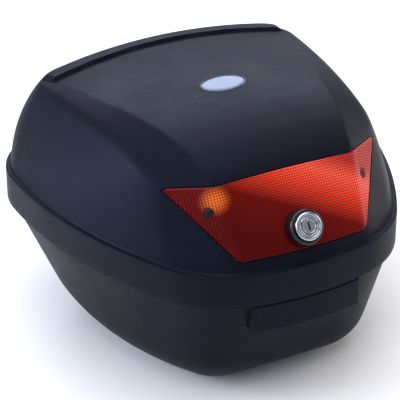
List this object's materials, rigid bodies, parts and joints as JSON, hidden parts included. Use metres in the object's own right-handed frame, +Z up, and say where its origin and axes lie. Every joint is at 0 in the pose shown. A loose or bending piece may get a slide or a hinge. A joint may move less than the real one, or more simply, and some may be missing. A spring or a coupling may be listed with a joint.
{
  "type": "top case",
  "caption": "Motorcycle top case: drafted plastic tub, hinged lid with rear reflector, key lock with turning cam, and a release slide under the floor.",
  "frame": {"origin": "on the ground under the middle of the overall width and length, lid closed", "axes": "+Z up, +X across the case, the lock and the reflector face -Y, the hinges are at +Y"},
  "size_m": [0.3912, 0.4008, 0.2742],
  "materials": {
    "case": "fine textured black polypropylene",
    "rubber": "matt",
    "lens": "clear red reflector acrylic with a prism grid behind",
    "carrier": "plain grey",
    "black_metal": "black oxide",
    "black_gloss": "smooth black",
    "badge": "pale blue-grey, domed",
    "chrome": "polished",
    "zinc": "zinc plated",
    "steel": "plain",
    "foam": "needled felt mat"
  },
  "bodies": {
    "tub": {"base_tub": "case", "rim_seal": "rubber", "striker": "zinc", "striker_screw_left": "zinc", "striker_screw_right": "zinc", "hinge_pin_left": "steel", "hinge_pin_right": "steel", "floor_mat": "foam", "release_housing": "black_gloss", "release_cover": "black_gloss", "cover_screw_1": "zinc", "cover_screw_2": "zinc", "cover_screw_3": "zinc", "cover_screw_4": "zinc", "foot_pad_1": "rubber", "foot_pad_2": "rubber", "foot_pad_3": "rubber", "foot_pad_4": "rubber"},
    "lid": {"lid_shell": "case", "reflector_lens": "lens", "reflector_carrier": "carrier", "reflector_screw_left": "black_metal", "reflector_screw_right": "black_metal", "badge_bezel": "black_gloss", "badge_plate": "badge", "lock_collar": "black_gloss", "lock_barrel": "chrome", "lock_nut": "zinc"},
    "key": {"key_plug": "chrome", "latch_cam": "zinc", "cam_screw": "zinc"},
    "release": {"release_slide": "carrier"}
  },
  "joints": [
    {"name": "lid_hinge", "type": "hinge", "parent": "tub", "child": "lid", "pos_m": [0, 0.19443, 0.124], "axis": [-1, 0, 0], "range_deg": [0, 88]},
    {"name": "key_turn", "type": "hinge", "parent": "lid", "child": "key", "pos_m": [0, -0.15146, 0.17494], "axis": [0, 0.8189, -0.5739], "range_deg": [0, 90]},
    {"name": "release_slide_pull", "type": "slide", "parent": "tub", "child": "release", "axis": [0, -1, 0], "range_m": [0, 0.009], "stiffness_N_per_m": 250, "springref_m": -0.01}
  ]
}
